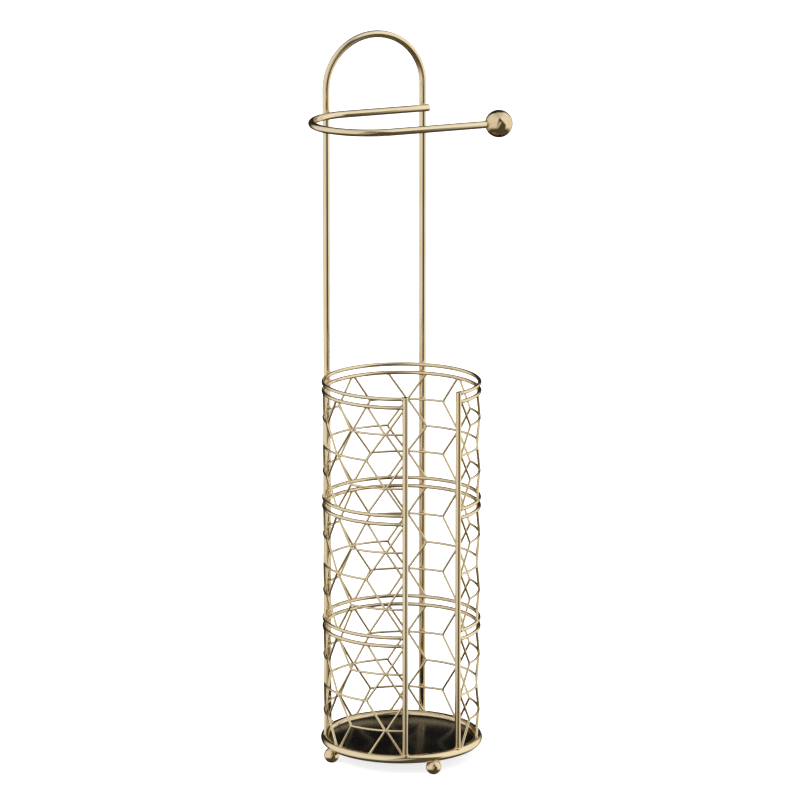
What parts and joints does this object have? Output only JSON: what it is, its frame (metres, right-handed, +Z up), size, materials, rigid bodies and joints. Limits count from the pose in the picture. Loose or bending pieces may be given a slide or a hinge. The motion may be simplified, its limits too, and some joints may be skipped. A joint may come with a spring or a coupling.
{
  "type": "toilet roll storage holder",
  "caption": "Free-standing gold wire stand with a lattice basket for spare toilet rolls, an open front slot, a tall back hoop and a level arm for a roll in use.",
  "frame": {"origin": "on the floor, under the axis of the basket", "axes": "+Z up; -Y is the front, with the open slot; the arm points along +X"},
  "size_m": [0.1724, 0.156, 0.6699],
  "materials": {
    "gold_wire": "polished",
    "black_plate": "gloss"
  },
  "bodies": {
    "root": {"arm_end_ball": "gold_wire", "base_plate": "black_plate", "base_ring": "gold_wire", "bottom_end_wires": "gold_wire", "bottom_ladder_1": "gold_wire", "bottom_ladder_2": "gold_wire", "bottom_ladder_3": "gold_wire", "bottom_ladder_4": "gold_wire", "bottom_ladder_5": "gold_wire", "bottom_ladder_6": "gold_wire", "bottom_ladder_7": "gold_wire", "bottom_lower_ring": "gold_wire", "bottom_upper_ring": "gold_wire", "foot_back": "gold_wire", "foot_front": "gold_wire", "foot_left": "gold_wire", "foot_right": "gold_wire", "middle_end_wires": "gold_wire", "middle_ladder_1": "gold_wire", "middle_ladder_2": "gold_wire", "middle_ladder_3": "gold_wire", "middle_ladder_4": "gold_wire", "middle_ladder_5": "gold_wire", "middle_ladder_6": "gold_wire", "middle_ladder_7": "gold_wire", "middle_lower_ring": "gold_wire", "middle_upper_ring": "gold_wire", "roll_arm": "gold_wire", "slot_post_left": "gold_wire", "slot_post_right": "gold_wire", "top_end_wires": "gold_wire", "top_ladder_1": "gold_wire", "top_ladder_2": "gold_wire", "top_ladder_3": "gold_wire", "top_ladder_4": "gold_wire", "top_ladder_5": "gold_wire", "top_ladder_6": "gold_wire", "top_ladder_7": "gold_wire", "top_lower_ring": "gold_wire", "top_upper_ring": "gold_wire", "upright_hoop": "gold_wire"}
  },
  "joints": []
}
